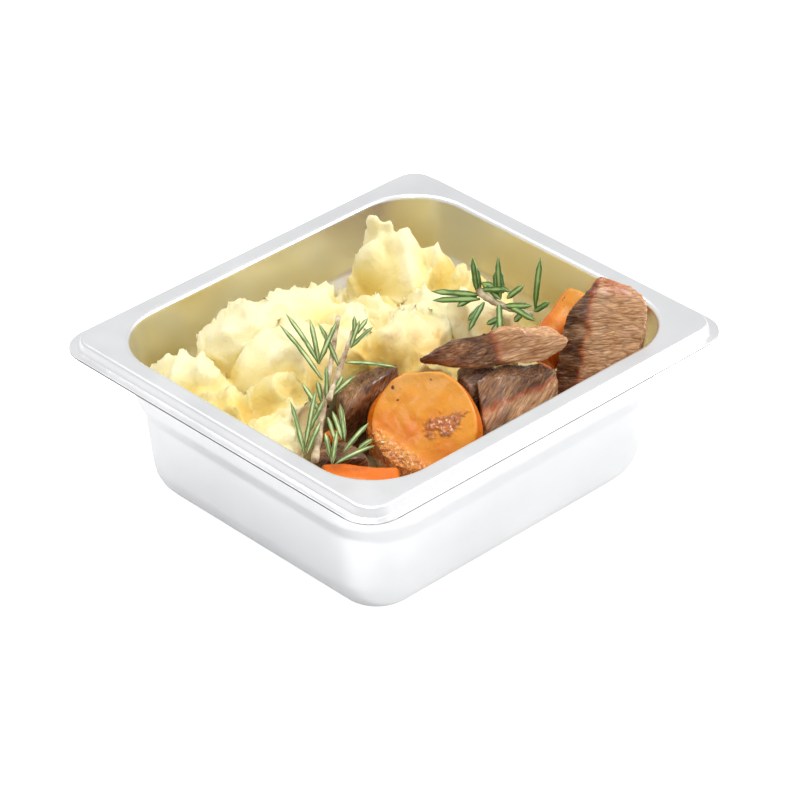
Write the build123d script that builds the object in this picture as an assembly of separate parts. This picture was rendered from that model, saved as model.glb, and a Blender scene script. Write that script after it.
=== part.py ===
from build123d import *
import os
from math import cos, pi, radians, sin

os.makedirs("parts", exist_ok=True)

# All sizes in mm. The base of the pan stands on z = 0, +X along the pan, +Z up.

# Sixth-size gastronorm pan, 65 deep, drawn from one sheet
PAN_LENGTH = 176.0
PAN_WIDTH = 162.0
PAN_HEIGHT = 65.0
SHEET = 0.7

# Rim: flat flange, skirt turned down, small lip turned out
LIP_CORNER_RADIUS = 12.6
LIP_WIDTH = 3.1
LIP_DROP = 3.5
SKIRT_SLOPE = 1.3
FLANGE_INSET = LIP_WIDTH + SKIRT_SLOPE
RIM_OVERLAP = 6.2
RIM_BEND = 1.2

# Well: inner edge of the flange and the walls, as distances in from the lip edge
MOUTH_INSET = 10.3
MOUTH_CORNER_RADIUS = 25.8
WALL_INSET_TOP = 11.0
SHOULDER_INSET_TOP = 12.85
SHOULDER_INSET_FOOT = 15.8
BASE_INSET = 19.0
SHOULDER_TOP = 42.5
SHOULDER_FOOT = 36.0
SHOULDER_BEND = 8.0
BASE_BEND = 16.0
MOUTH_BEND = 1.7

# Food: the clearance between pieces, and the mash as a bed with a heaped mound on it
GAP = 0.4
BED_TOP = 28.0
MOUND_OUTLINE = [
    (-76, -24), (-76, 52), (-60, 58), (-24, 55), (10, 50), (30, 54), (46, 50), (51, 30),
    (51, 0), (46, -8), (38, -14), (20, -18), (9, -12), (-3, -2), (-16, 5), (-36, 0),
    (-42, -8), (-54, -8), (-62, -20),
]
MOUND_SIDE_TOP = 50.0

# Carrots: the big round leans back with its cut face up and out
CARROT_RADIUS = 18.5
CARROT_LENGTH = 17.0
CARROT_FACE_CENTRE = (-22.0, -38.0, 54.0)
CARROT_FACING = (-0.5, -0.53, 0.68)
BACK_CARROT_RADIUS = 7.5
BACK_CARROT_LENGTH = 27.0
BACK_CARROT_LEAN = 60.0

# Rosemary: both ends of each stem, its radius, and the leaves
FRONT_STEM = ((-65, -29, 54), (-19, 8, 75))
FRONT_STEM_RADIUS = 1.3
FRONT_SHOOT = ((-47, -17, 65), (-25, -6, 78))
FRONT_SHOOT_RADIUS = 1.0
BACK_STEM = ((30, -12, 73), (37, -32, 69))
BACK_STEM_RADIUS = 1.4
NEEDLE_RADIUS = 0.9
NEEDLE_TIP_RADIUS = 0.3

# The corner turns of the well share one axis per corner, those of the rim another
WELL_REACH = MOUTH_INSET + MOUTH_CORNER_RADIUS
WELL_AXIS_X = PAN_LENGTH / 2 - WELL_REACH
WELL_AXIS_Y = PAN_WIDTH / 2 - WELL_REACH
RIM_AXIS_X = PAN_LENGTH / 2 - LIP_CORNER_RADIUS
RIM_AXIS_Y = PAN_WIDTH / 2 - LIP_CORNER_RADIUS


def section(corners):
    """Closed face in the XZ plane; each corner is (x, z, bend radius), radius 0 for sharp."""
    points = [(x, z) for x, z, bend in corners]
    face = make_face(Polyline(*points, close=True))
    for x, z, bend in corners:
        if bend:
            corner = face.vertices().sort_by_distance((x, z, 0))[0]
            face = fillet(corner, bend)
    return Plane.XZ * face


def carried_round(face, axis_x, axis_y):
    """A section carried round a rectangle: four straight sides and four turned corners."""
    turned = revolve(face, Axis.Z, -90)
    long_side = extrude(face, 2 * axis_y, dir=(0, -1, 0))
    short_side = extrude(face, 2 * axis_x, dir=(0, -1, 0))
    pieces = []
    for side in (1, -1):
        turn = 0 if side == 1 else 180
        pieces.append(Pos(side * axis_x, side * axis_y, 0) * Rot(0, 0, turn) * long_side)
        pieces.append(Pos(side * axis_x, -side * axis_y, 0) * Rot(0, 0, turn) * turned)
        pieces.append(Pos(side * axis_x, -side * axis_y, 0) * Rot(0, 0, turn - 90) * short_side)
        pieces.append(Pos(-side * axis_x, -side * axis_y, 0) * Rot(0, 0, turn - 90) * turned)
    return pieces


def filled_round(corners, height):
    """Solid block of the well's shape, from the turned section out to its walls."""
    pieces = carried_round(section(corners), WELL_AXIS_X, WELL_AXIS_Y)
    low = min(z for x, z, bend in corners)
    centre = Pos(0, 0, (low + height) / 2) * Box(2 * WELL_AXIS_X, 2 * WELL_AXIS_Y, height - low)
    return Part() + [centre] + pieces


def well_outside():
    """Outside of the walls and base, up to the flange."""
    corners = [
        (0, 0, 0),
        (WELL_REACH - BASE_INSET, 0, BASE_BEND),
        (WELL_REACH - SHOULDER_INSET_FOOT, SHOULDER_FOOT, SHOULDER_BEND),
        (WELL_REACH - SHOULDER_INSET_TOP, SHOULDER_TOP, SHOULDER_BEND),
        (WELL_REACH - WALL_INSET_TOP, PAN_HEIGHT - SHEET, MOUTH_BEND - SHEET),
        (WELL_REACH - MOUTH_INSET + 2, PAN_HEIGHT - SHEET, 0),
        (WELL_REACH - MOUTH_INSET + 2, PAN_HEIGHT, 0),
        (0, PAN_HEIGHT, 0),
    ]
    return filled_round(corners, PAN_HEIGHT)


def well_inside(shrink=0.0):
    """Space inside the walls; shrink draws it in from the steel for the food."""
    wall = SHEET + shrink
    above = PAN_HEIGHT + 1
    corners = [
        (0, wall, 0),
        (WELL_REACH - BASE_INSET - wall, wall, BASE_BEND - wall),
        (WELL_REACH - SHOULDER_INSET_FOOT - wall, SHOULDER_FOOT, SHOULDER_BEND),
        (WELL_REACH - SHOULDER_INSET_TOP - wall, SHOULDER_TOP, SHOULDER_BEND),
        (WELL_REACH - WALL_INSET_TOP - wall, PAN_HEIGHT, MOUTH_BEND),
        (WELL_REACH - MOUTH_INSET + 2, PAN_HEIGHT, 0),
        (WELL_REACH - MOUTH_INSET + 2, above, 0),
        (0, above, 0),
    ]
    return filled_round(corners, above)


def rim():
    """Outer bend of the flange, sloping skirt and the flat lip the pan hangs by."""
    lip_top = PAN_HEIGHT - LIP_DROP
    reach = LIP_CORNER_RADIUS
    corners = [
        (reach - RIM_OVERLAP, PAN_HEIGHT, 0),
        (reach - FLANGE_INSET, PAN_HEIGHT, RIM_BEND),
        (reach - LIP_WIDTH, lip_top, 0.4),
        (reach, lip_top, 0.2),
        (reach, lip_top - SHEET, 0.2),
        (reach - LIP_WIDTH - SHEET, lip_top - SHEET, 0.9),
        (reach - FLANGE_INSET - SHEET * 0.8, PAN_HEIGHT - SHEET, 0.5),
        (reach - RIM_OVERLAP, PAN_HEIGHT - SHEET, 0),
    ]
    return carried_round(section(corners), RIM_AXIS_X, RIM_AXIS_Y)


def flange():
    """Flat flange between the mouth of the well and the rim's outer bend."""
    edge = RIM_OVERLAP - 0.2
    plate = RectangleRounded(
        PAN_LENGTH - 2 * edge, PAN_WIDTH - 2 * edge, LIP_CORNER_RADIUS - edge
    )
    return Pos(0, 0, PAN_HEIGHT - SHEET) * extrude(plate, SHEET)


def pan():
    """One pressed piece: well, flange, skirt and lip."""
    body = Part() + [well_outside(), flange()] + rim()
    return body - well_inside()


def prism(outline, low, high):
    """Upright block on a plan outline."""
    face = make_face(Polyline(*outline, close=True))
    return Pos(0, 0, low) * extrude(face, high - low)


def tapered(foot, top, low, high):
    """Block lofted from a foot outline to a top outline with as many corners."""
    foot_face = Pos(0, 0, low) * make_face(Polyline(*foot, close=True))
    top_face = Pos(0, 0, high) * make_face(Polyline(*top, close=True))
    return loft([foot_face, top_face], ruled=True)


def dome(x, y, z, radius_x, radius_y, radius_z):
    """Rounded heap, a ball stretched to three radii."""
    return Pos(x, y, z) * scale(Sphere(1), by=(radius_x, radius_y, radius_z))


def mash():
    """Mashed potato: a bed over the whole floor and a heaped mound left and back."""
    bed = prism([(-90, -90), (90, -90), (90, 90), (-90, 90)], 0, BED_TOP)
    heaps = [
        prism(MOUND_OUTLINE, BED_TOP - 1, MOUND_SIDE_TOP),
        dome(-50, 28, 46, 26, 24, 19),
        dome(-14, 26, 44, 30, 26, 23),
        dome(29, 22, 44, 22, 30, 26),
        dome(-48, 0, 42, 24, 18, 14),
        dome(20, -6, 44, 26, 12, 16),
        Pos(33, 38, 68) * Cone(9, 2, 20),
    ]
    mound = (Part() + heaps) & prism(MOUND_OUTLINE, 0, 90)
    return (bed + mound) & (well_inside(GAP) + prism(MOUND_OUTLINE, 60, 90))


def beef_slab():
    """Thick slab standing in the right corner, narrower towards its crusted top."""
    foot = [(60, -57), (43, -48), (41, -41), (57, -34), (66, -46)]
    top = [(63, -61), (57, -46), (57, -40), (63, -37), (69, -49)]
    return tapered(foot, top, BED_TOP + GAP, 75)


def beef_dark():
    """Dark slice showing between the front carrot and the pale-cut slice."""
    foot = [(5, -34), (17, -35), (18, -25), (10, -20), (3, -24)]
    top = [(5, -33), (16, -34), (17, -26), (9, -21), (4, -25)]
    return tapered(foot, top, BED_TOP + GAP, 55)


def beef_lower():
    """Wedge under the top slice, its pale cut face towards the front right side."""
    foot = [(4, -55), (28, -57), (33, -46), (18, -36), (6, -37)]
    top = [(9, -49), (27, -50), (29, -44), (17, -37), (8, -38)]
    return tapered(foot, top, BED_TOP + GAP, 55)


def beef_top():
    """Long slice lying across the two below it, coming to a tip at the left."""
    foot = [(-4, -17), (7, -36), (24, -52), (36, -48), (30, -34), (10, -19)]
    top = [(-2, -19), (8, -32), (25, -47), (34, -46), (29, -37), (11, -23)]
    return tapered(foot, top, 55 + GAP, 70)


def beef_behind():
    """Slice leaning up behind the front carrot."""
    foot = [(-38, -13), (-24, -11), (-9, -11), (-5, -7), (-16, 3), (-34, -3)]
    top = [(-33, -11), (-23, -10), (-9, -11), (-7, -8), (-15, -2), (-30, -5)]
    return tapered(foot, top, BED_TOP + GAP, 57)


def beef_corner():
    """Dark chunk low in the front corner, left of the big carrot."""
    foot = [(-58, -21), (-43, -34), (-41, -18), (-51, -10)]
    top = [(-54, -22), (-44, -31), (-42, -19), (-50, -13)]
    return tapered(foot, top, BED_TOP + GAP, 46)


def carrot_front():
    """Thick carrot round leaning back, its cut face up and out at the front corner."""
    face_plane = Plane(origin=CARROT_FACE_CENTRE, z_dir=CARROT_FACING)
    round_face = face_plane * Circle(CARROT_RADIUS)
    return extrude(round_face, -CARROT_LENGTH)


def carrot_corner():
    """Split length of carrot on edge against the front corner."""
    outline = [(-65, -34), (-60, -26.5), (-43, -47), (-50, -55)]
    return prism(outline, BED_TOP + GAP, 50)


def carrot_back():
    """Piece of carrot leaning between the slab and the mash, rising to the right."""
    rod = Cylinder(BACK_CARROT_RADIUS, BACK_CARROT_LENGTH, rotation=(0, BACK_CARROT_LEAN, 0))
    return Pos(58.5, -25.5, 50) * rod


def carrot_middle():
    """Small piece of carrot low between the slab and the pale-cut slice."""
    return prism([(34.5, -46), (39, -45), (39, -35), (34, -36)], BED_TOP + GAP, 50)


def carrot_scrap():
    """Scrap of carrot on the corner beef, under the front sprig."""
    return prism([(-49, -19), (-44, -20), (-43, -15), (-48, -14)], 46 + GAP, 50)


def needle(start, direction, length):
    """One leaf, tapering from its foot to its tip."""
    return Solid.make_cone(
        NEEDLE_RADIUS, NEEDLE_TIP_RADIUS, length, Plane(origin=start, z_dir=direction)
    )


def stem(start, end, radius):
    """Straight length of stem between two points."""
    run = Vector(*end) - Vector(*start)
    return Solid.make_cylinder(radius, run.length, Plane(origin=start, z_dir=run))


def whorls(start, end, stem_radius, stations):
    """Leaves set round a stem; each station is (part of the way, leaf count, lean, length)."""
    run = Vector(*end) - Vector(*start)
    along = run.normalized()
    side = along.cross(Vector(0, 0, 1)).normalized()
    upward = side.cross(along)
    leaves = []
    for part_way, count, lean, length in stations:
        for k in range(count):
            turn = pi * (k + 0.5) / count
            spread = side * cos(turn) + upward * sin(turn)
            heading = along * cos(radians(lean)) + spread * sin(radians(lean))
            foot = Vector(*start) + run * part_way + spread * (stem_radius + NEEDLE_RADIUS)
            leaves.append(needle(foot, heading, length))
    return leaves


parts = {
    "pan": pan(),
    "mash": mash(),
    "beef_slab": beef_slab(),
    "beef_dark": beef_dark(),
    "beef_lower": beef_lower(),
    "beef_top": beef_top(),
    "beef_behind": beef_behind(),
    "beef_corner": beef_corner(),
    "carrot_front": carrot_front(),
    "carrot_corner": carrot_corner(),
    "carrot_back": carrot_back(),
    "carrot_middle": carrot_middle(),
    "carrot_scrap": carrot_scrap(),
    "rosemary_front_stem": stem(*FRONT_STEM, FRONT_STEM_RADIUS),
    "rosemary_front_shoot": stem(*FRONT_SHOOT, FRONT_SHOOT_RADIUS),
    "rosemary_front_needles": Compound(children=whorls(
        *FRONT_STEM, FRONT_STEM_RADIUS, [(0.2, 4, 35, 17), (0.45, 3, 35, 14), (0.66, 4, 40, 20)]
    )),
    "rosemary_back_stem": stem(*BACK_STEM, BACK_STEM_RADIUS),
    "rosemary_back_needles": Compound(children=whorls(
        *BACK_STEM, BACK_STEM_RADIUS, [(0.1, 5, 75, 16), (0.5, 4, 60, 15), (0.8, 4, 45, 13)]
    )),
}

for name, shape in parts.items():
    export_step(shape, f"parts/{name}.step")
    size = shape.bounding_box().size
    print(f"{name}: {size.X:.1f} x {size.Y:.1f} x {size.Z:.1f}, volume {shape.volume:.0f}")
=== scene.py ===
"""A steel food pan filled with mash, braised beef, carrot and rosemary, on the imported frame."""
import math
import bmesh
import bpy
from mathutils import Matrix, Vector, noise


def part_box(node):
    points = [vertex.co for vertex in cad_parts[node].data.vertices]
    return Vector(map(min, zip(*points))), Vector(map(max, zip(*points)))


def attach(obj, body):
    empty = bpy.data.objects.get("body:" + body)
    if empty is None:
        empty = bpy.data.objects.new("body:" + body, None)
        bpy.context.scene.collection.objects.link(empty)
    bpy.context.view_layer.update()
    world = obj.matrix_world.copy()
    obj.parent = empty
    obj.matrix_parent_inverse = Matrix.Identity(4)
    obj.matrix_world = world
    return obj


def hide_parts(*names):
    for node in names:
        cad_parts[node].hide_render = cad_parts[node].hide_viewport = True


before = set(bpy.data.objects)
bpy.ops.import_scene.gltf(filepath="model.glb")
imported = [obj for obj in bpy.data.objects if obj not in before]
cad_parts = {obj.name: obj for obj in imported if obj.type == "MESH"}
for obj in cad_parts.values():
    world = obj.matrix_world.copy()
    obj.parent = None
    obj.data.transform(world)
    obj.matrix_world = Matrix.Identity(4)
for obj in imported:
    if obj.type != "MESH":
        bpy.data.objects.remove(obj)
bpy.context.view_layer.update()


# ---- Camera and light ----
# A product shot: a long lens looks down on the front corner of the pan, and soft light
# comes from all round a white studio, a little stronger from the right.
MM = 0.001
PAN_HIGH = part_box("pan")[1]
RIM_HEIGHT = PAN_HIGH.z
VIEW_AZIMUTH = math.radians(-43.0)
VIEW_ELEVATION = math.radians(33.2)
VIEW_ROLL = math.radians(-1.1)
VIEW_DISTANCE = 1.4075
VIEW_LENS = 180.3
VIEW_ASIDE = 0.0019
VIEW_DOWN = 0.0249
LIT_HEIGHT = 0.04
STUDIO_LEVEL = 0.8

back = Vector((
    math.sin(VIEW_AZIMUTH) * math.cos(VIEW_ELEVATION),
    -math.cos(VIEW_AZIMUTH) * math.cos(VIEW_ELEVATION),
    math.sin(VIEW_ELEVATION),
))
across = Matrix.Rotation(VIEW_ROLL, 3, back) @ Vector(
    (math.cos(VIEW_AZIMUTH), math.sin(VIEW_AZIMUTH), 0)
)
upward = back.cross(across)
camera = bpy.data.objects.new("camera", bpy.data.cameras.new("camera"))
camera.data.lens = VIEW_LENS
camera.data.clip_start = 0.05
camera.data.clip_end = 20
aim = Vector((0, 0, RIM_HEIGHT)) + across * VIEW_ASIDE - upward * VIEW_DOWN
turn = Matrix((across, upward, back)).transposed().to_4x4()
camera.matrix_world = Matrix.Translation(aim + back * VIEW_DISTANCE) @ turn
bpy.context.scene.collection.objects.link(camera)
bpy.context.scene.camera = camera
bpy.context.scene.view_settings.view_transform = "Standard"


def soft_light(name, place, size, power):
    """A square softbox aimed at the middle of the pan, unseen by the camera itself."""
    light = bpy.data.lights.new(name, "AREA")
    light.shape = "SQUARE"
    light.size = size
    light.energy = power
    lamp = bpy.data.objects.new(name, light)
    lamp.location = place
    towards = Vector((0, 0, LIT_HEIGHT)) - lamp.location
    lamp.rotation_euler = towards.to_track_quat("-Z", "Y").to_euler()
    lamp.visible_camera = False
    bpy.context.scene.collection.objects.link(lamp)


soft_light("softbox_right", (1.1, -0.9, 1.0), 0.7, 16.5)
soft_light("softbox_top", (-0.1, 0.4, 1.5), 0.8, 11.5)
soft_light("softbox_front", (-0.55, -0.6, 1.15), 0.3, 1.4)

studio = bpy.data.worlds.new("studio")
bpy.context.scene.world = studio
studio.use_nodes = True
studio.node_tree.nodes["Background"].inputs["Color"].default_value = (1, 1, 1, 1)
studio.node_tree.nodes["Background"].inputs["Strength"].default_value = STUDIO_LEVEL


# ---- Floor ----
# A white sweep, glowing faintly the way an overlit studio table does, so that the pan's
# shadow stays soft and pale.
FLOOR_HALF = 3.0
floor_form = bmesh.new()
bmesh.ops.create_grid(floor_form, x_segments=2, y_segments=2, size=FLOOR_HALF)
floor_mesh = bpy.data.meshes.new("floor")
floor_form.to_mesh(floor_mesh)
floor_form.free()
floor = bpy.data.objects.new("floor", floor_mesh)
bpy.context.scene.collection.objects.link(floor)
table_white = bpy.data.materials.new("table_white")
table_white.use_nodes = True
table_shader = table_white.node_tree.nodes["Principled BSDF"]
table_shader.inputs["Base Color"].default_value = (0.75, 0.75, 0.75, 1)
table_shader.inputs["Roughness"].default_value = 0.9
table_shader.inputs["Emission Strength"].default_value = 1
seen_from = table_white.node_tree.nodes.new("ShaderNodeLightPath")
glow = table_white.node_tree.nodes.new("ShaderNodeMix")
glow.data_type = "RGBA"
glow.inputs["A"].default_value = (0.12, 0.12, 0.12, 1)
glow.inputs["B"].default_value = (0.75, 0.75, 0.75, 1)
table_white.node_tree.links.new(seen_from.outputs["Is Camera Ray"], glow.inputs["Factor"])
table_white.node_tree.links.new(glow.outputs["Result"], table_shader.inputs["Emission Color"])
floor_mesh.materials.append(table_white)


# ---- Pan ----
# A sixth-size gastronorm pan pressed from one sheet of stainless steel: flat flange, skirt
# turned down to a narrow lip, stacking shoulder, tapered walls and a rounded base.
SHEET = 0.7
LIP_CORNER_RADIUS = 12.6
LIP_WIDTH = 3.1
LIP_TOP = 61.5
FLANGE_INSET = 4.4
FLANGE_TOP = RIM_HEIGHT / MM
WELL_REACH = 36.1
RIM_END = 6.2
WELL_START = 8.3
WALL_TOP = 11.0
SHOULDER_TOP = (12.85, 42.5)
SHOULDER_FOOT = (15.8, 36.0)
SHOULDER_BEND = 8.0
BASE_INSET = 19.0
BASE_BEND = 16.0
MOUTH_BEND = 1.7
FLOOR_INSET = 35.0
CORNER_STEPS = 14


def bent(corners, steps=6, support=0.3):
    """A line through corners of (inset, height, bend radius), each bend drawn as an arc."""
    line = []
    for k, (x, z, bend) in enumerate(corners):
        corner = Vector((x, z))
        if not bend:
            line.append(corner)
            continue
        before = (Vector(corners[k - 1][:2]) - corner).normalized()
        after = (Vector(corners[k + 1][:2]) - corner).normalized()
        half = before.angle(after) / 2
        cut = bend / math.tan(half)
        centre = corner + (before + after).normalized() * bend / math.sin(half)
        line.append(corner + before * (cut + support))
        first = corner + before * cut - centre
        sweep = first.angle_signed(corner + after * cut - centre)
        for s in range(steps + 1):
            turned = first.copy()
            turned.rotate(Matrix.Rotation(-sweep * s / steps, 2))
            line.append(centre + turned)
        line.append(corner + after * (cut + support))
    return line


def loop_of(form, ring):
    """The edges that run round a ring of corners."""
    corners = set(ring)
    return [e for e in form.edges if e.verts[0] in corners and e.verts[1] in corners]


def skinned(form, loops):
    """Joins loops of edges in turn into one closed skin."""
    for loop, next_loop in zip(loops, loops[1:]):
        bmesh.ops.bridge_loops(form, edges=loop + next_loop)
    bmesh.ops.holes_fill(form, edges=loops[0] + loops[-1], sides=0)
    bmesh.ops.recalc_face_normals(form, faces=form.faces)


def corner_radius(inset):
    """Plan radius of the pan's corners at a distance in from the lip's edge."""
    if inset <= RIM_END:
        return LIP_CORNER_RADIUS - inset
    if inset >= WELL_START:
        return WELL_REACH - inset
    low, high = LIP_CORNER_RADIUS - RIM_END, WELL_REACH - WELL_START
    return low + (high - low) * (inset - RIM_END) / (WELL_START - RIM_END)


def pan_ring(form, inset, height):
    """One level outline of the pan: a circle pulled apart into a rounded rectangle."""
    radius = corner_radius(inset)
    reach = Vector((PAN_HIGH.x / MM - inset - radius, PAN_HIGH.y / MM - inset - radius))
    ring = bmesh.ops.create_circle(form, segments=4 * CORNER_STEPS, radius=1)["verts"]
    for k, v in enumerate(ring):
        quarter, step = divmod(k, CORNER_STEPS)
        angle = (quarter + step / (CORNER_STEPS - 1)) * math.pi / 2
        side_x = 1 if quarter in (0, 3) else -1
        side_y = 1 if quarter in (0, 1) else -1
        v.co = (
            side_x * reach.x + radius * math.cos(angle),
            side_y * reach.y + radius * math.sin(angle),
            height,
        )
    return loop_of(form, ring)


def finished(form, name, body, nodes, material):
    """Turns a form in millimetres into a smooth piece that rides on its body."""
    bmesh.ops.scale(form, vec=(MM, MM, MM), verts=form.verts)
    for face in form.faces:
        face.smooth = True
    mesh = bpy.data.meshes.new(name)
    form.to_mesh(mesh)
    form.free()
    piece = bpy.data.objects.new(name, mesh)
    bpy.context.scene.collection.objects.link(piece)
    mesh.materials.append(material)
    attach(piece, body)
    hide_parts(*nodes)


def material_nodes(name):
    """A new material with its node tree and its Principled shader."""
    material = bpy.data.materials.new(name)
    material.use_nodes = True
    tree = material.node_tree
    return material, tree, tree.nodes["Principled BSDF"]


def unevenness_group():
    """Uneven blobs on the piece's own coordinates, the one effect that every finish here has."""
    group = bpy.data.node_groups.new("unevenness", "ShaderNodeTree")
    for socket, kind in (("Scale", "Float"), ("Detail", "Float"), ("Roughness", "Float"),
                         ("Stretch", "Vector"), ("Distortion", "Float")):
        group.interface.new_socket(socket, in_out="INPUT", socket_type="NodeSocket" + kind)
    group.interface.new_socket("Value", in_out="OUTPUT", socket_type="NodeSocketFloat")
    given = group.nodes.new("NodeGroupInput")
    result = group.nodes.new("NodeGroupOutput")
    place = group.nodes.new("ShaderNodeTexCoord")
    mapping = group.nodes.new("ShaderNodeMapping")
    blobs = group.nodes.new("ShaderNodeTexNoise")
    group.links.new(place.outputs["Object"], mapping.inputs["Vector"])
    group.links.new(given.outputs["Stretch"], mapping.inputs["Scale"])
    group.links.new(mapping.outputs["Vector"], blobs.inputs["Vector"])
    for socket in ("Scale", "Detail", "Roughness", "Distortion"):
        group.links.new(given.outputs[socket], blobs.inputs[socket])
    group.links.new(blobs.outputs["Fac"], result.inputs["Value"])
    return group


unevenness = unevenness_group()


def uneven(tree, scale, detail=3.0, roughness=0.5, stretch=(1, 1, 1), distortion=0.0):
    """The unevenness, scale in blobs per metre; returns its value socket."""
    node = tree.nodes.new("ShaderNodeGroup")
    node.node_tree = unevenness
    node.inputs["Scale"].default_value = scale
    node.inputs["Detail"].default_value = detail
    node.inputs["Roughness"].default_value = roughness
    node.inputs["Stretch"].default_value = stretch
    node.inputs["Distortion"].default_value = distortion
    return node.outputs["Value"]


def shades(tree, value, stops):
    """Colour ramp over a value; stops are (position, (r, g, b))."""
    ramp = tree.nodes.new("ShaderNodeValToRGB")
    elements = ramp.color_ramp.elements
    while len(elements) < len(stops):
        elements.new(0.5)
    for element, (position, colour) in zip(elements, stops):
        element.position = position
        element.color = (*colour, 1)
    tree.links.new(value, ramp.inputs["Fac"])
    return ramp.outputs["Color"]


def spread(tree, value, low, high, start=0.0, end=1.0):
    """A value carried from one range to another."""
    reach = tree.nodes.new("ShaderNodeMapRange")
    reach.inputs["From Min"].default_value = start
    reach.inputs["From Max"].default_value = end
    reach.inputs["To Min"].default_value = low
    reach.inputs["To Max"].default_value = high
    tree.links.new(value, reach.inputs["Value"])
    return reach.outputs["Result"]


def relief(tree, height, distance, strength=1.0, under=None):
    """Bump from a height socket, over another bump if one is given."""
    bump = tree.nodes.new("ShaderNodeBump")
    bump.inputs["Distance"].default_value = distance
    bump.inputs["Strength"].default_value = strength
    tree.links.new(height, bump.inputs["Height"])
    if under:
        tree.links.new(under, bump.inputs["Normal"])
    return bump.outputs["Normal"]


def satin_steel():
    """Bright satin stainless: fine drawing lines, slow waves in the sheet, patchy polish."""
    material, tree, shader = material_nodes("satin_steel")
    shader.inputs["Metallic"].default_value = 1
    cloud = uneven(tree, 26, detail=4)
    tree.links.new(
        shades(tree, cloud, [(0.25, (0.83, 0.84, 0.85)), (0.75, (0.90, 0.905, 0.91))]),
        shader.inputs["Base Color"],
    )
    polish = uneven(tree, 60, detail=3, roughness=0.5)
    tree.links.new(spread(tree, polish, 0.28, 0.36, 0.3, 0.7), shader.inputs["Roughness"])
    lines = relief(tree, uneven(tree, 240, detail=2, stretch=(1, 1, 14)), 0.00001, 0.2)
    waves = relief(tree, uneven(tree, 14, detail=1), 0.0002, 0.15, under=lines)
    tree.links.new(waves, shader.inputs["Normal"])
    return material


pan_form = bmesh.new()
sheet_line = bent([
    (FLOOR_INSET, SHEET, 0),
    (BASE_INSET + SHEET, SHEET, BASE_BEND - SHEET),
    (SHOULDER_FOOT[0] + SHEET, SHOULDER_FOOT[1], SHOULDER_BEND),
    (SHOULDER_TOP[0] + SHEET, SHOULDER_TOP[1], SHOULDER_BEND),
    (WALL_TOP + SHEET, FLANGE_TOP, MOUTH_BEND),
    (FLANGE_INSET, FLANGE_TOP, 1.2),
    (LIP_WIDTH, LIP_TOP, 0.4),
    (0, LIP_TOP, 0.25),
    (0, LIP_TOP - SHEET, 0.25),
    (LIP_WIDTH + SHEET, LIP_TOP - SHEET, 0.8),
    (FLANGE_INSET + SHEET * 0.8, FLANGE_TOP - SHEET, 0.5),
    (WALL_TOP, FLANGE_TOP - SHEET, MOUTH_BEND - SHEET),
    (*SHOULDER_TOP, SHOULDER_BEND),
    (*SHOULDER_FOOT, SHOULDER_BEND),
    (BASE_INSET, 0, BASE_BEND),
    (FLOOR_INSET, 0, 0),
])
rings = [pan_ring(pan_form, p.x, p.y) for p in sheet_line]
skinned(pan_form, rings)
finished(pan_form, "steel_pan", "pan", ["pan"], satin_steel())


# ---- Mash ----
# Buttery mashed potato, spooned in rough heaps over the back of the pan and pulled up into
# torn crests and one tall peak; a thin bed of it runs on under the meat.
BED_TOP = 27.5
WALL_GAP = 1.0
MASH_VOXEL = 1.3
MASH_SMOOTHING = 6
FOLD = 24
TEAR = 8.5
SHRED = 4.2
DRIFT = 10
MASH_EDGE = [
    (-76, -24), (-76, 52), (-60, 58), (-24, 55), (10, 50), (30, 54), (46, 50), (51, 30), (53, 0),
    (50, -12), (38, -17), (20, -19), (9, -19), (-2, -14), (-6, -5), (-16, 4), (-36, 0),
    (-42, -8), (-54, -8), (-62, -20),
]
MASH_HEAPS = [
    ((-64, 36, 47), (14, 17, 15)),
    ((-67, 14, 44), (12, 15, 16)),
    ((-68, -8, 42), (11, 15, 17)),
    ((-50, 6, 45), (12, 11, 20)),
    ((-56, -2, 42), (16, 12, 17)),
    ((-34, 40, 49), (18, 14, 20)),
    ((-12, 38, 48), (20, 15, 19)),
    ((-32, 22, 46), (22, 18, 20)),
    ((-8, 22, 44), (20, 16, 20)),
    ((-18, 8, 42), (20, 12, 21)),
    ((10, 20, 42), (15, 16, 20)),
    ((10, 0, 44), (16, 13, 20)),
    ((27, 38, 54), (8, 9, 18)),
    ((32, 40, 64), (5, 5.5, 11.5)),
    ((36, 34, 60), (7.5, 8.5, 13)),
    ((34, 31, 50), (13, 14, 19)),
    ((44, 26, 49), (9, 13, 18)),
    ((43, 10, 48), (10, 15, 18)),
    ((0, 2, 44), (13, 10, 20)),
    ((7, -8, 42), (11, 7, 18)),
    ((2, -12, 40), (12, 9, 15)),
    ((24, 6, 44), (20, 16, 19)),
    ((32, -4, 44), (14, 11, 20)),
    ((46, -2, 45), (8, 12, 17)),
]
MASH_HORNS = [((31, 42, 71), 17), ((34, 39, 71), 15), ((38, 35, 67), 12)]
WALL_LINE = [(WALL_TOP, FLANGE_TOP), SHOULDER_TOP, SHOULDER_FOOT, (BASE_INSET, 0)]


def wall_inset(height):
    """How far in from the lip's edge the well's wall stands at a height."""
    for upper, lower in zip(WALL_LINE, WALL_LINE[1:]):
        if height >= lower[1]:
            part = (height - lower[1]) / (upper[1] - lower[1])
            return lower[0] + (upper[0] - lower[0]) * min(part, 1)
    return BASE_INSET


def inside_pan(point, gap=WALL_GAP):
    """The point, pulled in if need be so that it clears the well's wall."""
    reach = WELL_REACH - wall_inset(point.z) - SHEET - gap
    corner = Vector((
        math.copysign(max(abs(point.x) - PAN_HIGH.x / MM + WELL_REACH, 0), point.x),
        math.copysign(max(abs(point.y) - PAN_HIGH.y / MM + WELL_REACH, 0), point.y),
    ))
    if corner.length > reach:
        shift = corner * (reach / corner.length - 1)
        return Vector((point.x + shift.x, point.y + shift.y, point.z))
    return point


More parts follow.
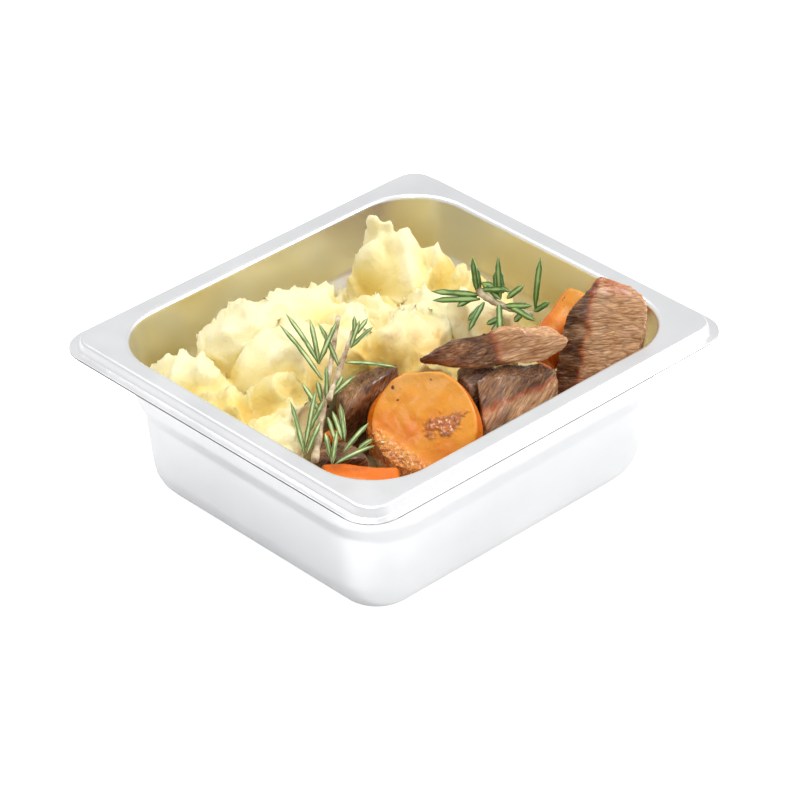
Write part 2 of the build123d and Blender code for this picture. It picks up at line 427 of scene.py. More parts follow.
def within(point, edge):
    """The point, pulled in if need be to the nearest spot on the plan outline."""
    nearest, turns = None, 0
    for k, (x, y) in enumerate(edge):
        start = Vector((x, y))
        run = Vector(edge[(k + 1) % len(edge)]) - start
        part = max(0, min(1, (point.xy - start).dot(run) / run.length_squared))
        spot = start + run * part
        if nearest is None or (spot - point.xy).length < (nearest - point.xy).length:
            nearest = spot
        if (start.y > point.y) != (start.y + run.y > point.y):
            if point.x < start.x + run.x * (point.y - start.y) / run.y:
                turns += 1
    if turns % 2:
        return point
    return Vector((nearest.x, nearest.y, point.z))


def smooth_step(value, low, high):
    """0 below low, 1 above high and an even curve between."""
    part = max(0, min(1, (value - low) / (high - low)))
    return part * part * (3 - 2 * part)


def crease(point, size):
    """1 along sharp crests and falling towards 0 between them, crests about size apart."""
    return 1 - min(1, 2.4 * abs(noise.noise(point / size)))


def prism(form, foot, top, low, high):
    """A block between a foot outline and a top outline of as many corners."""
    loops = []
    for outline, height in ((foot, low), (top, high)):
        ring = bmesh.ops.create_circle(form, segments=len(outline), radius=1)["verts"]
        for v, (x, y) in zip(ring, outline):
            v.co = (x, y, height)
        loops.append(loop_of(form, ring))
    skinned(form, loops)


def melted(form, voxel):
    """The form again as one closed skin of even small faces, with all its overlaps joined."""
    rough_mesh = bpy.data.meshes.new("rough")
    form.to_mesh(rough_mesh)
    form.free()
    rough = bpy.data.objects.new("rough", rough_mesh)
    bpy.context.scene.collection.objects.link(rough)
    skin = rough.modifiers.new("skin", "REMESH")
    skin.mode = "VOXEL"
    skin.voxel_size = voxel
    graph = bpy.context.evaluated_depsgraph_get()
    joined = bpy.data.meshes.new_from_object(rough.evaluated_get(graph))
    bpy.data.objects.remove(rough)
    bpy.data.meshes.remove(rough_mesh)
    form = bmesh.new()
    form.from_mesh(joined)
    bpy.data.meshes.remove(joined)
    bmesh.ops.smooth_vert(form, verts=form.verts, factor=0.5)
    form.normal_update()
    return form


def tint(red, green, blue):
    """A paint-chart colour, 0 to 255 a channel, as the linear colour that a shader takes."""
    return tuple(
        c / 3294.6 if c <= 10 else ((c / 255 + 0.055) / 1.055) ** 2.4
        for c in (red, green, blue)
    )


def marked(tree, name, output="Fac"):
    """What the mesh carries at each corner under a name."""
    attribute = tree.nodes.new("ShaderNodeAttribute")
    attribute.attribute_name = name
    return attribute.outputs[output]


def worked(tree, operation, *values):
    """A sum over sockets and plain numbers."""
    node = tree.nodes.new("ShaderNodeMath")
    node.operation = operation
    for k, value in enumerate(values):
        if isinstance(value, (int, float)):
            node.inputs[k].default_value = value
        else:
            tree.links.new(value, node.inputs[k])
    return node.outputs["Value"]


def painted(tree, under, over, amount, blend="MIX"):
    """A colour laid over another as thickly as the amount says."""
    coat = tree.nodes.new("ShaderNodeMix")
    coat.data_type = "RGBA"
    coat.blend_type = blend
    tree.links.new(amount, coat.inputs["Factor"])
    tree.links.new(under, coat.inputs["A"])
    if isinstance(over, tuple):
        coat.inputs["B"].default_value = (*over, 1)
    else:
        tree.links.new(over, coat.inputs["B"])
    return coat.outputs["Result"]


def mash_material():
    """Starchy and faintly see-through: crests and the top of the heap are painted ivory as light,
    and hollows are painted a deeper butter yellow as shade.
    """
    material, tree, shader = material_nodes("buttery_mash")
    patches = uneven(tree, 120, detail=5, roughness=0.6)
    # Painted shade and light: the potato is painted a darker, deeper yellow in the hollows and
    # paler on the crests and the top of the heap, over random patches.
    depth = worked(tree, "MULTIPLY_ADD", patches, 0.35, marked(tree, "hollow_shade"))
    potato = shades(tree, depth, [
        (0.1, tint(235, 226, 184)),
        (0.45, tint(230, 215, 154)),
        (0.75, tint(222, 198, 114)),
        (1.0, tint(204, 167, 74)),
    ])
    stained = painted(tree, potato, tint(216, 164, 66), marked(tree, "jus"))
    tree.links.new(stained, shader.inputs["Base Color"])
    wet = uneven(tree, 70, detail=3)
    tree.links.new(spread(tree, wet, 0.35, 0.62, 0.35, 0.65), shader.inputs["Roughness"])
    grain = relief(tree, uneven(tree, 700, detail=4, roughness=0.6), 0.0004, 0.35)
    folds = relief(tree, uneven(tree, 160, detail=3, distortion=1.2), 0.0012, 0.4, under=grain)
    tree.links.new(folds, shader.inputs["Normal"])
    shader.inputs["Subsurface Weight"].default_value = 0.2
    shader.inputs["Subsurface Radius"].default_value = (1.0, 0.75, 0.35)
    shader.inputs["Subsurface Scale"].default_value = 0.0015
    shader.inputs["Specular IOR Level"].default_value = 0.4
    return material


mash_form = bmesh.new()
bed_side = bent([
    (WELL_REACH, SHEET + 0.3, 0),
    (BASE_INSET + SHEET + WALL_GAP, SHEET + 0.3, BASE_BEND - SHEET - WALL_GAP),
    (wall_inset(BED_TOP) + SHEET + WALL_GAP, BED_TOP, 2),
    (WELL_REACH, BED_TOP, 0),
])
skinned(mash_form, [pan_ring(mash_form, min(p.x, WELL_REACH - 0.5), p.y) for p in bed_side])
prism(mash_form, MASH_EDGE, MASH_EDGE, BED_TOP - 4, 46)
for centre, radii in MASH_HEAPS:
    shape = Matrix.Translation(centre) @ Matrix.Diagonal((*radii, 1))
    bmesh.ops.create_icosphere(mash_form, subdivisions=3, radius=1, matrix=shape)
for centre, height in MASH_HORNS:
    bmesh.ops.create_cone(mash_form, cap_ends=True, segments=10, radius1=3.6, radius2=1.5,
                          depth=height, matrix=Matrix.Translation(centre))
mash_form = melted(mash_form, MASH_VOXEL)
hollow_shade = mash_form.verts.layers.float.new("hollow_shade")
jus = mash_form.verts.layers.float.new("jus")
for _ in range(MASH_SMOOTHING):
    bmesh.ops.smooth_vert(mash_form, verts=mash_form.verts, factor=0.5)
mash_form.normal_update()
for v in mash_form.verts:
    free = smooth_step(v.co.z, 30, 46)
    shift_x, shift_y, shift_z = (noise.noise(v.co / FOLD + Vector((k, k, k))) for k in (9, 23, 41))
    drift = v.co + DRIFT * Vector((shift_x, shift_y, shift_z))
    fold = crease(drift, FOLD)
    torn = crease(Vector((drift.x + 40, drift.y, drift.z * 0.5)), TEAR)
    shred = crease(Vector((drift.x, drift.y + 30, drift.z * 0.4)), SHRED)
    rough = smooth_step(noise.noise(v.co / 15 + Vector((3, 9, 4))), -0.5, 0.15)
    rough = max(rough, smooth_step(-v.co.x - 0.4 * v.co.y, 42, 54))
    swell = noise.noise(v.co / 18 + Vector((7, 3, 1)))
    lift = free * (2.1 * fold + rough * (1.9 * torn ** 2 + 0.6 * shred) + 1.2 * swell - 0.4)
    v.co += v.normal * lift + Vector((0, 0, free * (1.2 * fold ** 5 + 2.0 * rough * torn ** 6)))
    if v.co.z > BED_TOP + 1.5:
        v.co = within(v.co, MASH_EDGE)
    elif v.co.z > BED_TOP - 2:
        v.co.z += 0.9 * noise.noise(v.co / 9) + 0.4 * crease(v.co, 6) - 0.3
    v.co = inside_pan(v.co)
    # Painted light and shade: the top of the heap and the crests are marked paler and the hollows
    # darker, so that the colour carries light and shade.
    lit_crown = smooth_step(v.co.z, 58, 72)
    v[hollow_shade] = max(0, min(1, 0.62 - 0.4 * fold - 0.25 * torn * rough - 0.3 * swell - 0.4 * lit_crown))
    near_meat = smooth_step(-v.co.y - 0.3 * v.co.x, -10, 10) * smooth_step(v.co.x, -44, -30)
    soaked = smooth_step(noise.noise(v.co / 7 + Vector((1, 2, 3))), -0.2, 0.5)
    speck = noise.noise(v.co / 3.4) + 0.5 * noise.noise(v.co / 1.6)
    v[jus] = near_meat * (0.45 * soaked + 0.5 * smooth_step(speck, 0.5, 0.62))
finished(mash_form, "potato_mash", "mash", ["mash"], mash_material())


# ---- Braised beef ----
# Chunks of long-cooked beef: strands run through each one, the outside is browned to a thin
# crust, cut faces are paler (on the slab partly as painted light), and the cooking juices leave it
# wet.
BEEF_VOXEL = 0.75


def hull(form, corners):
    """The tightest closed skin round some corners."""
    points = [form.verts.new(corner) for corner in corners]
    bmesh.ops.convex_hull(form, input=points)


def block(foot, top, low, high):
    """The corners of a block between two outlines."""
    return [(x, y, low) for x, y in foot] + [(x, y, high) for x, y in top]


def chunk(hulls, along, cut_at, cut_towards, tones, crusted_above=99, lumps=0.8, scoop=None):
    """A piece of beef: its strands run along; beyond cut_at, cut_towards, it shows a paler cut
    face, on the slab partly painted light.
    """
    form = bmesh.new()
    for corners in hulls:
        part = bmesh.new()
        hull(part, corners)
        bmesh.ops.bevel(part, geom=part.edges, offset=0.9, segments=2, profile=0.5, affect="EDGES",
                        clamp_overlap=True, material=-1)
        part_mesh = bpy.data.meshes.new("part")
        part.to_mesh(part_mesh)
        part.free()
        form.from_mesh(part_mesh)
        bpy.data.meshes.remove(part_mesh)
    form = melted(form, BEEF_VOXEL)
    strand = Vector(along).normalized()
    side = strand.orthogonal().normalized()
    rise = strand.cross(side)
    beyond = Vector(cut_towards).normalized()
    grain = form.verts.layers.float_vector.new("grain")
    tone = form.verts.layers.float.new("tone")
    crust = form.verts.layers.float.new("crust")
    for v in form.verts:
        p = Vector((v.co.dot(strand), v.co.dot(side), v.co.dot(rise)))
        v[grain] = p * MM
        ragged = 1.6 * noise.noise(v.co / 4)
        cut = smooth_step((v.co - Vector(cut_at)).dot(beyond) + ragged, -0.8, 0.8)
        v[tone] = tones[0] + (tones[1] - tones[0]) * cut
        near_cut = 1 - min(1, abs((v.co - Vector(cut_at)).dot(beyond) + ragged) / 1.5)
        topping = smooth_step(v.co.z + 1.5 * ragged, crusted_above - 2, crusted_above + 2)
        v[crust] = max(near_cut * (tones[1] > tones[0]), topping)
        bundle = noise.noise(Vector((p.x / 26, p.y / 5, p.z / 5)))
        fibre = crease(Vector((p.x / 12, p.y / 2.2, p.z / 2.2)), 1)
        swell = noise.noise(v.co / 10)
        torn = noise.noise(v.co / 3.2)
        v.co += v.normal * (lumps * swell + 0.35 * torn + 0.5 * bundle + 0.3 * fibre - 0.3)
        if scoop:
            near = (v.co - Vector(scoop[0])).length / scoop[1]
            v.co += beyond * scoop[2] * max(0, 1 - near * near)
        v.co = inside_pan(v.co)
    return form


def beef_material():
    """Strands from near black to tan along the grain, painted shade in the gaps between strand
    bundles, orange crust at the edges, wet gloss.
    """
    material, tree, shader = material_nodes("braised_beef")
    grain = marked(tree, "grain", "Vector")

    def drawn_out(texture, place, stretch, **values):
        mapping = tree.nodes.new("ShaderNodeMapping")
        mapping.inputs["Scale"].default_value = (stretch, 1, 1)
        node = tree.nodes.new(texture)
        for socket, value in values.items():
            node.inputs[socket].default_value = value
        tree.links.new(place, mapping.inputs["Vector"])
        tree.links.new(mapping.outputs["Vector"], node.inputs["Vector"])
        return node

    fine = drawn_out("ShaderNodeTexNoise", grain, 0.13, Scale=1700, Detail=5).outputs["Fac"]
    coarse = drawn_out("ShaderNodeTexNoise", grain, 0.4, Scale=150, Detail=4).outputs["Fac"]
    shift = drawn_out("ShaderNodeTexNoise", grain, 1, Scale=160)
    waver = tree.nodes.new("ShaderNodeVectorMath")
    waver.operation = "SCALE"
    waver.inputs["Scale"].default_value = 0.002
    tree.links.new(shift.outputs["Color"], waver.inputs["Vector"])
    wander = tree.nodes.new("ShaderNodeVectorMath")
    wander.operation = "ADD"
    tree.links.new(grain, wander.inputs[0])
    tree.links.new(waver.outputs["Vector"], wander.inputs[1])
    bundles = drawn_out("ShaderNodeTexVoronoi", wander.outputs["Vector"], 0.16, Scale=600)
    bundles.feature = "DISTANCE_TO_EDGE"
    gaps = spread(tree, bundles.outputs["Distance"], 0, 1, 0, 0.22)
    dark = shades(tree, fine, [
        (0.25, tint(38, 22, 13)), (0.5, tint(88, 55, 32)), (0.75, tint(144, 98, 56)),
    ])
    pale = shades(tree, fine, [
        (0.22, tint(160, 110, 74)), (0.5, tint(198, 150, 106)), (0.78, tint(234, 200, 152)),
    ])
    mottle = spread(tree, coarse, -0.55, 0.45, 0.3, 0.7)
    paleness = worked(tree, "ADD", marked(tree, "tone"), mottle)
    flesh = painted(tree, dark, pale, paleness)
    browning = spread(tree, marked(tree, "crust"), 0, 0.6)
    crusted = painted(tree, flesh, tint(170, 74, 26), browning)
    # Painted shade: the colour is multiplied darker in the gaps between strand bundles.
    gap_shade = spread(tree, gaps, 0.45, 0, 0, 0.7)
    shaded_gaps = painted(tree, crusted, (0.5, 0.36, 0.3), gap_shade, "MULTIPLY")
    tree.links.new(shaded_gaps, shader.inputs["Base Color"])
    tree.links.new(spread(tree, coarse, 0.28, 0.6, 0.35, 0.65), shader.inputs["Roughness"])
    ridges = relief(tree, fine, 0.0005, 0.6)
    parting = relief(tree, gaps, 0.0003, 0.55, under=ridges)
    tree.links.new(relief(tree, coarse, 0.0015, 0.6, under=parting), shader.inputs["Normal"])
    juices = spread(tree, uneven(tree, 180, detail=3), 0, 0.9, 0.46, 0.62)
    tree.links.new(juices, shader.inputs["Coat Weight"])
    shader.inputs["Coat Roughness"].default_value = 0.15
    shader.inputs["Specular IOR Level"].default_value = 0.35
    shader.inputs["Subsurface Weight"].default_value = 0.1
    shader.inputs["Subsurface Radius"].default_value = (1.0, 0.35, 0.2)
    shader.inputs["Subsurface Scale"].default_value = 0.002
    return material


braise = beef_material()
# Painted light and shade: the slab's paler side beyond the cut is its cut face and also the light
# on its broad face towards the right lamp; its darker left side is partly painted shade.
slab = chunk(
    [[(62, -40, 77.5), (67, -51, 76.5), (64, -62, 74), (58, -64, 60), (58, -64, 29), (41, -47, 39),
      (42, -47, 29), (53, -43, 61), (57, -41, 74), (48, -37, 65), (44, -38, 55), (36.5, -41, 38),
      (37, -42, 29), (69, -46, 72), (69, -52, 66), (61, -35, 60), (56, -34, 29), (66, -46, 29)]],
    (0.34, -0.9, 0.28), (53, -43, 60), (0.55, -0.8, -0.11), (0.1, 1.15), crusted_above=75.5)
finished(slab, "beef_slab_meat", "beef_slab", ["beef_slab"], braise)
dark = chunk(
    [[(6, -26, 56), (17, -26, 56), (18, -34, 56), (5, -34, 52), (4, -28, 29), (18, -25, 29),
      (18, -35, 29), (5, -35, 29), (10, -21, 54), (10, -20, 29)]],
    (0.6, -0.5, 0.4), (0, 0, 0), (0, 0, -1), (0.1, 0.1))
finished(dark, "beef_dark_meat", "beef_dark", ["beef_dark"], braise)
lower = chunk(
    [[(7, -33, 56), (18, -34, 57), (30, -43, 57.5), (30, -50, 57), (26, -55, 49), (4, -38, 51),
      (0, -45, 45), (1, -45, 29), (4, -56, 29), (28, -58, 29), (32.5, -47, 29), (32, -46.5, 53),
      (18, -36, 29), (24, -49, 57), (8, -51, 43)]],
    (0.75, 0.05, 0.6), (13, -46, 51), (-0.2, -0.8, -0.5), (0.05, 0.7))
finished(lower, "beef_lower_meat", "beef_lower", ["beef_lower"], braise)
top_slice = chunk(
    [[(-6, -18, 64), (-5, -17, 61), (6, -22, 68), (16, -29, 70), (4, -25, 57.5), (12, -33, 57),
      (22, -38, 57), (24, -30, 61), (10, -20, 61), (24, -34, 66)],
     [(16, -29, 70), (18, -33, 64), (29, -39, 69.5), (35, -42, 69.5), (37, -50, 67), (36, -50, 64),
      (29, -47, 59.5), (22, -41, 57.8), (18, -36, 59), (22, -28, 68), (34, -37, 66), (38, -45, 63),
      (33, -40, 58.5)]],
    (0.62, -0.6, 0.25), (17, -31, 66), (0.6, -0.6, 0.55), (0.1, 1.45), lumps=0.6,
    scoop=((20, -33, 71), 9, 3))
finished(top_slice, "beef_top_meat", "beef_top", ["beef_top"], braise)
behind = chunk(
    [[(-37, -13, 52), (-24, -11, 58), (-10, -12, 60), (-6, -8, 57), (-16, 1, 55), (-32, -4, 54),
      (-38, -13, 29), (-24, -11, 29), (-9, -11, 29), (-6, -8, 29), (-16, 2, 29), (-34, -4, 29)]],
    (0.7, 0.4, 0.6), (0, 0, 0), (0, 0, -1), (0.15, 0.15))
finished(behind, "beef_behind_meat", "beef_behind", ["beef_behind"], braise)
corner = chunk(
    [block([(-58, -21), (-43, -34), (-40, -19), (-51, -10)],
           [(-57, -21), (-43, -33), (-41, -19), (-51, -12)], 29, 47)],
    (0.6, -0.5, 0.5), (0, 0, 0), (0, 0, -1), (0.15, 0.15))
finished(corner, "beef_corner_meat", "beef_corner", ["beef_corner"], braise)


# ---- Carrots ----
# Thick cuts of glazed carrot: a tall slice stands against the front, with a browned patch on
# its face, and smaller pieces are tucked in by the beef and in the front corner.
FACE_CENTRE = Vector((-22, -38, 54))
FACE_LOOKS = Vector((-0.5, -0.53, 0.68)).normalized()
SLICE_RADIUS = 18.5
SLICE_DEPTH = 17


def carrot(form, face=None, looks=None, voxel=0.9):
    """A carrot form melted to one skin, lightly uneven, with its browned places, its sticky glazed
    places speckled with painted highlights, and painted shade deepening the orange lower down.
    """
    form = melted(form, voxel)
    brown = form.verts.layers.float.new("brown")
    low_shade_and_skin = form.verts.layers.float.new("low_shade_and_skin")
    glaze_and_glints = form.verts.layers.float.new("glaze_and_glints")
    for v in form.verts:
        swell = noise.noise(v.co / 9) * 0.7 + noise.noise(v.co / 3.5) * 0.25
        v[brown] = 0
        # Painted shade: the lower the carrot sits, the deeper and darker its orange is painted; on
        # the slice, the skin turned away from the cut face is deeper orange too, as the carrot's
        # own colour.
        v[low_shade_and_skin] = smooth_step(75 - v.co.z, 0, 24)
        if face:
            away = v.co - face
            v[low_shade_and_skin] = max(v[low_shade_and_skin] * 0.6, smooth_step(0.9 - v.normal.dot(looks), 0, 0.35))
            across, upright = away.dot(face_across), away.dot(face_up)
            patch = math.hypot((across - 7) / 8.5, (upright + 3 - 0.3 * across) / 4.5)
            patch += 0.6 * noise.noise(v.co / 4) + 0.3 * noise.noise(v.co / 1.5)
            v[brown] = 1 - smooth_step(patch, 0.5, 1.1)
            # Sticky glaze on the browned patch and along the lower left edge: glossy and wrinkled,
            # and where the highlights are painted.
            edge = smooth_step(-0.6 * across - 0.8 * upright, 9, 15)
            v[glaze_and_glints] = max(0.7 * v[brown], edge)
            swell += v[glaze_and_glints] * (0.5 * noise.noise(v.co / 1.7) + 0.4 * noise.noise(v.co / 3))
            swell -= 0.5 * v[brown]
        v.co = inside_pan(v.co + v.normal * swell)
    return form


def carrot_material():
    """Cooked carrot: orange painted deeper low down as shade and deeper on the skin as its own
    colour, browned butter patches, a sticky glaze with painted highlight flecks.
    """
    material, tree, shader = material_nodes("glazed_carrot")
    mottle = spread(tree, uneven(tree, 90, detail=4), -0.25, 0.25, 0.3, 0.7)
    flesh = shades(tree, worked(tree, "ADD", marked(tree, "low_shade_and_skin"), mottle), [
        (0.0, tint(206, 150, 70)), (0.5, tint(218, 142, 30)), (1.0, tint(216, 104, 6)),
    ])
    browned = painted(tree, flesh, tint(164, 74, 28), spread(tree, marked(tree, "brown"), 0, 0.7))
    specks = spread(tree, uneven(tree, 420, detail=2, roughness=0.4), 0, 1, 0.69, 0.76)
    flecked = painted(tree, browned, tint(82, 36, 14), specks)
    glaze_and_glints = marked(tree, "glaze_and_glints")
    # Painted highlights: pale spots are painted into the colour where the glaze is sticky,
    # standing in for glints of light on it.
    glint_spots = spread(tree, uneven(tree, 900, detail=2), 0, 0.9, 0.56, 0.64)
    painted_glints = painted(tree, flecked, tint(250, 214, 172), worked(tree, "MULTIPLY", glint_spots, glaze_and_glints))
    tree.links.new(painted_glints, shader.inputs["Base Color"])
    polish = spread(tree, uneven(tree, 130, detail=4), 0.22, 0.5, 0.35, 0.65)
    tree.links.new(polish, shader.inputs["Roughness"])
    pores = relief(tree, uneven(tree, 650, detail=3, roughness=0.6), 0.0005, 0.4)
    wrinkled = worked(tree, "MULTIPLY", uneven(tree, 480, detail=2), glaze_and_glints)
    wrinkles = relief(tree, wrinkled, 0.004, 1.0, under=pores)
    tree.links.new(relief(tree, uneven(tree, 150, detail=3), 0.001, 0.35, under=wrinkles),
                   shader.inputs["Normal"])
    film = spread(tree, uneven(tree, 60, detail=3), 0, 0.25, 0.45, 0.65)
    tree.links.new(worked(tree, "MAXIMUM", film, glaze_and_glints), shader.inputs["Coat Weight"])
    shader.inputs["Coat Roughness"].default_value = 0.08
    shader.inputs["Specular IOR Level"].default_value = 0.35
    shader.inputs["Subsurface Weight"].default_value = 0.15
    shader.inputs["Subsurface Radius"].default_value = (1.0, 0.4, 0.1)
    shader.inputs["Subsurface Scale"].default_value = 0.003
    return material


glaze = carrot_material()
slice_form = bmesh.new()
face_across = Vector((0, 0, 1)).cross(FACE_LOOKS).normalized()
face_up = FACE_LOOKS.cross(face_across)
slice_loops = []
for depth, flare in ((0, 0.93), (0.6, 0.98), (1.8, 1.0), (9, 1.08), (SLICE_DEPTH, 1.1)):
    ring = bmesh.ops.create_circle(slice_form, segments=48, radius=1)["verts"]
    for v in ring:
        low = 0.5 - v.co.y / 2
        sideways = v.co.x * SLICE_RADIUS * (flare - 0.03 + 0.06 * low)
        upright = min(v.co.y * SLICE_RADIUS, SLICE_RADIUS * (0.82 + 0.12 * v.co.y))
        v.co = (FACE_CENTRE - FACE_LOOKS * depth + face_across * sideways
                + face_up * upright * (1 if v.co.y > 0 else flare))
    slice_loops.append(loop_of(slice_form, ring))
skinned(slice_form, slice_loops)
finished(carrot(slice_form, FACE_CENTRE, FACE_LOOKS, 0.6), "carrot_slice", "carrot_front",
         ["carrot_front"], glaze)
for name, outline, low, high in (
    ("corner", [(-65, -34), (-60, -26.5), (-43, -47), (-50, -55)], 28.4, 50),
    ("middle", [(33, -45), (36, -44), (35.5, -36), (33, -37)], 28.4, 53),
    ("scrap", [(-49, -19), (-44, -20), (-43, -15), (-48, -14)], 47.6, 51),
):
    piece_form = bmesh.new()
    hull(piece_form, block(outline, outline, low, high))
    bmesh.ops.bevel(piece_form, geom=piece_form.edges, offset=1, segments=2, profile=0.5,
                    affect="EDGES", material=-1)
    node = "carrot_" + name
    finished(carrot(piece_form), node + "_piece", node, [node], glaze)
wedge_form = bmesh.new()
bmesh.ops.create_cone(
    wedge_form, cap_ends=True, segments=32, radius1=7, radius2=8, depth=27,
    matrix=Matrix.Translation((58.5, -25.5, 50)) @ Matrix.Rotation(math.radians(60), 4, "Y"))
bmesh.ops.bevel(wedge_form, geom=wedge_form.edges, offset=1, segments=2, profile=0.5,
                affect="EDGES", material=-1)
finished(carrot(wedge_form), "carrot_back_piece", "carrot_back", ["carrot_back"], glaze)


# ---- Rosemary ----
# Two cut sprigs laid on top: a woody stem with a side shoot leans over the front of the mash,
# and a short green tuft lies behind the meat. Narrow leaves stand off in whorls.
STEM_SIDES = 10
KNOT = 0.12
KNOT_SPACING = 40
LEAF_SIDES = 8
LEAF_STEPS = 9
LEAF_THICK = 0.75
FRONT_STEM = [(-65, -29, 54), (-44, -12, 63), (-19, 8, 75)]
FRONT_SHOOT = [(-47, -17, 65), (-36, -11, 70), (-25, -6, 78)]
BACK_STEM = [(30, -12, 73), (31, -22, 71), (37, -32, 69)]


def tube(form, line, thickness, sides):
    """A closed round tube through a line of points, as thick as thickness says at each part."""
    loops = []
    for k, point in enumerate(line):
        ahead = line[min(k + 1, len(line) - 1)] - line[max(k - 1, 0)]
        turned = ahead.to_track_quat("Z", "Y").to_matrix().to_4x4()
        ring = bmesh.ops.create_circle(
            form, segments=sides, radius=thickness(k / (len(line) - 1)),
            matrix=Matrix.Translation(point) @ turned)["verts"]
        loops.append(loop_of(form, ring))
    skinned(form, loops)


def eased(points, steps):
    """A smooth line through three points."""
    a, b, c = (Vector(p) for p in points)
    pull = b * 2 - (a + c) / 2
    return [a * (1 - t) ** 2 + pull * 2 * t * (1 - t) + c * t * t
            for t in (k / steps for k in range(steps + 1))]


def stem_form(form, points, radius, tip_radius):
    """A woody stem with slight knots where the leaves grow."""
    line = eased(points, 28)

    def thickness(t):
        return radius + (tip_radius - radius) * t + KNOT * math.sin(t * KNOT_SPACING)

    tube(form, line, thickness, STEM_SIDES)


def leaves(form, points, leaf_width, leaf_list, bend=0.12):
    """Leaves along a stem: each stands so far up and to the side, turned, lifted and so long."""
    start, end = Vector(points[0]), Vector(points[-1])
    stem = (end - start).normalized()
    aside = stem.cross(back).normalized()
    out = aside.cross(stem)
    width = form.verts.layers.float.get("across") or form.verts.layers.float.new("across")
    for up, side, turn_by, lift_by, length in leaf_list:
        turn_by, lift_by = math.radians(turn_by), math.radians(lift_by)
        middle = eased(points, 20)[min(20, max(0, round(up / (end - start).length * 20)))]
        foot = middle + aside * side
        run = stem * math.cos(turn_by) + aside * math.sin(turn_by)
        run = run * math.cos(lift_by) + out * math.sin(lift_by)
        flat = run.cross(out).normalized()
        face = flat.cross(run)
        loops = []
        for k in range(LEAF_STEPS + 1):
            t = k / LEAF_STEPS
            centre = foot + run * length * t + face * length * bend * (t - t * t) * 2
            breadth = leaf_width / 2 * min(1, 0.35 + 3 * t) * (1 - smooth_step(t, 0.75, 1.05))
            ring = bmesh.ops.create_circle(form, segments=LEAF_SIDES, radius=1)["verts"]
            for j, v in enumerate(ring):
                angle = 2 * math.pi * j / LEAF_SIDES
                over = math.sin(angle)
                thick = LEAF_THICK / 2 * min(1, breadth * 2 + 0.2)
                groove = 0.3 * thick if abs(math.cos(angle)) < 0.3 and over > 0 else 0
                v.co = centre + flat * breadth * math.cos(angle) + face * (thick * over - groove)
                # Painted highlight: the middle of each leaf's top takes the pale colour as a
                # highlight; the back takes it as the felted underside.
                v[width] = abs(math.cos(angle)) if over > -0.1 else 2
            loops.append(loop_of(form, ring))
        skinned(form, loops)


def leaf_material(name, light, mid, dark):
    """Leathery rosemary leaf: a pale stripe down the middle of the top that is a painted
    highlight, green blade, darker rolled edges and a felted back.
    """
    material, tree, shader = material_nodes(name)
    patches = spread(tree, uneven(tree, 160, detail=3), -0.3, 0.3, 0.3, 0.7)
    # The pale colour at both ends is a painted highlight on the top's middle and the felted back's
    # own colour.
    blade = shades(tree, worked(tree, "ADD", marked(tree, "across"), patches), [
        (0.0, light), (0.35, mid), (0.9, dark), (1.0, light),
    ])
    tree.links.new(blade, shader.inputs["Base Color"])
    waxy = spread(tree, uneven(tree, 300, detail=2), 0.3, 0.5)
    tree.links.new(waxy, shader.inputs["Roughness"])
    pitted = relief(tree, uneven(tree, 900, detail=3), 0.0003, 0.4)
    tree.links.new(pitted, shader.inputs["Normal"])
    shader.inputs["Subsurface Weight"].default_value = 0.1
    shader.inputs["Subsurface Radius"].default_value = (0.4, 1.0, 0.2)
    shader.inputs["Subsurface Scale"].default_value = 0.001
    return material


def stem_material():
    """Young bark: whitish tan with pink and brown streaks along it."""
    material, tree, shader = material_nodes("rosemary_bark")
    streak = uneven(tree, 260, detail=5, roughness=0.6)
    tree.links.new(shades(tree, streak, [
        (0.3, tint(112, 84, 62)), (0.45, tint(168, 146, 114)), (0.65, tint(214, 200, 168)),
    ]), shader.inputs["Base Color"])
    tree.links.new(spread(tree, streak, 0.8, 0.5), shader.inputs["Roughness"])
    tree.links.new(relief(tree, streak, 0.0006, 0.7), shader.inputs["Normal"])
    return material


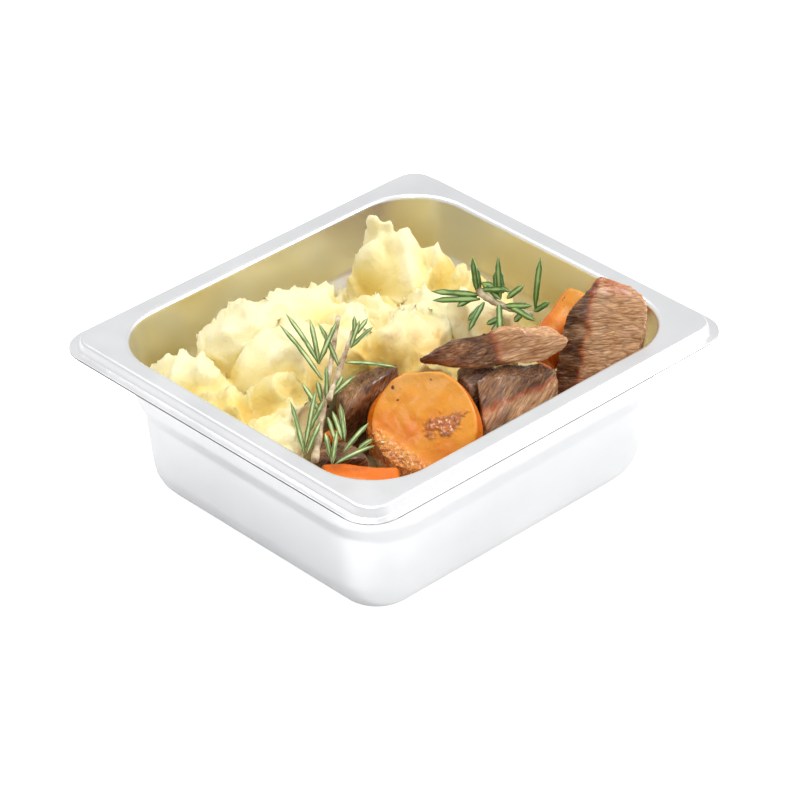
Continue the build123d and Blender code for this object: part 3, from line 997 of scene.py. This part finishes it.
bark = stem_material()
front_wood = bmesh.new()
stem_form(front_wood, FRONT_STEM, 1.4, 0.8)
stem_form(front_wood, FRONT_SHOOT, 1.1, 0.7)
finished(front_wood, "front_sprig_stem", "rosemary_front",
         ["rosemary_front_stem", "rosemary_front_shoot"], bark)
front_green = bmesh.new()
leaves(front_green, FRONT_STEM, 1.8, [
    (38, -2, -45, 10, 25), (43, -4, -45, 20, 21), (45, -4, -22, 25, 16), (43, -4, 15, 20, 17),
    (48, -3, 8, 30, 8), (45, 3, -32, 10, 18), (27, 1, -12, 30, 13), (21, 0, -40, 15, 14),
    (27, -1, -20, 20, 8), (26, -1, -55, 10, 6),
    (3, -4, -22, 10, 20), (5, -4, 2, 20, 21), (11, -4, 17, 15, 14), (2, -3, 15, 20, 12),
    (22, 2, 158, 0, 11), (1, 6, 0, 15, 12), (12, 9, -15, 10, 14), (12, 8, -27, 15, 11),
    (6, 9, 32, 15, 14), (10, 14, 45, 10, 6), (1, 7, 56, 10, 15), (2, 5, -20, 15, 9),
])
leaves(front_green, FRONT_SHOOT, 1.6, [
    (27, 1, 18, 10, 8), (22, 1, 28, 10, 11), (16, 1, 80, 10, 18), (27, 1, -20, 20, 7),
    (22, 1, 0, 25, 10), (3, 1, 30, 15, 10), (5, 1, 10, 20, 5),
])
pale_leaf = leaf_material(
    "rosemary_pale", tint(196, 206, 150), tint(112, 138, 66), tint(58, 82, 34))
finished(front_green, "front_sprig_leaves", "rosemary_front", ["rosemary_front_needles"],
         pale_leaf)
back_wood = bmesh.new()
stem_form(back_wood, BACK_STEM, 1.5, 0.9)
finished(back_wood, "back_sprig_stem", "rosemary_back", ["rosemary_back_stem"], bark)
back_green = bmesh.new()
leaves(back_green, BACK_STEM, 2.2, [
    (1, 1, 160, 10, 17), (2, 2, 155, 5, 17), (0, 2, 125, 15, 8), (0, 1, -115, 30, 14),
    (0, 0, -130, 20, 6), (0, -1, -120, 25, 8), (1, -1, -18, 30, 12), (0, -3, -5, 20, 13),
    (0, -3, 17, 20, 11), (10, -2, -110, 30, 16), (8, -3, -112, 20, 8), (10, -4, -118, 10, 8),
    (12, -3, -56, 15, 8), (10, -1, 58, 20, 14), (4, 2, 90, 15, 12), (4, 3, 106, 15, 8),
    (12, 0, -20, 20, 12), (13, -1, 7, 25, 15), (22, -2, -100, 30, 20), (22, -1, -50, 15, 7),
    (13, 4, 132, 10, 6), (13, 4, 95, 10, 7), (17, 4, -66, 10, 4),
])
deep_leaf = leaf_material(
    "rosemary_deep", tint(160, 186, 112), tint(88, 124, 52), tint(38, 64, 22))
finished(back_green, "back_sprig_leaves", "rosemary_back", ["rosemary_back_needles"],
         deep_leaf)
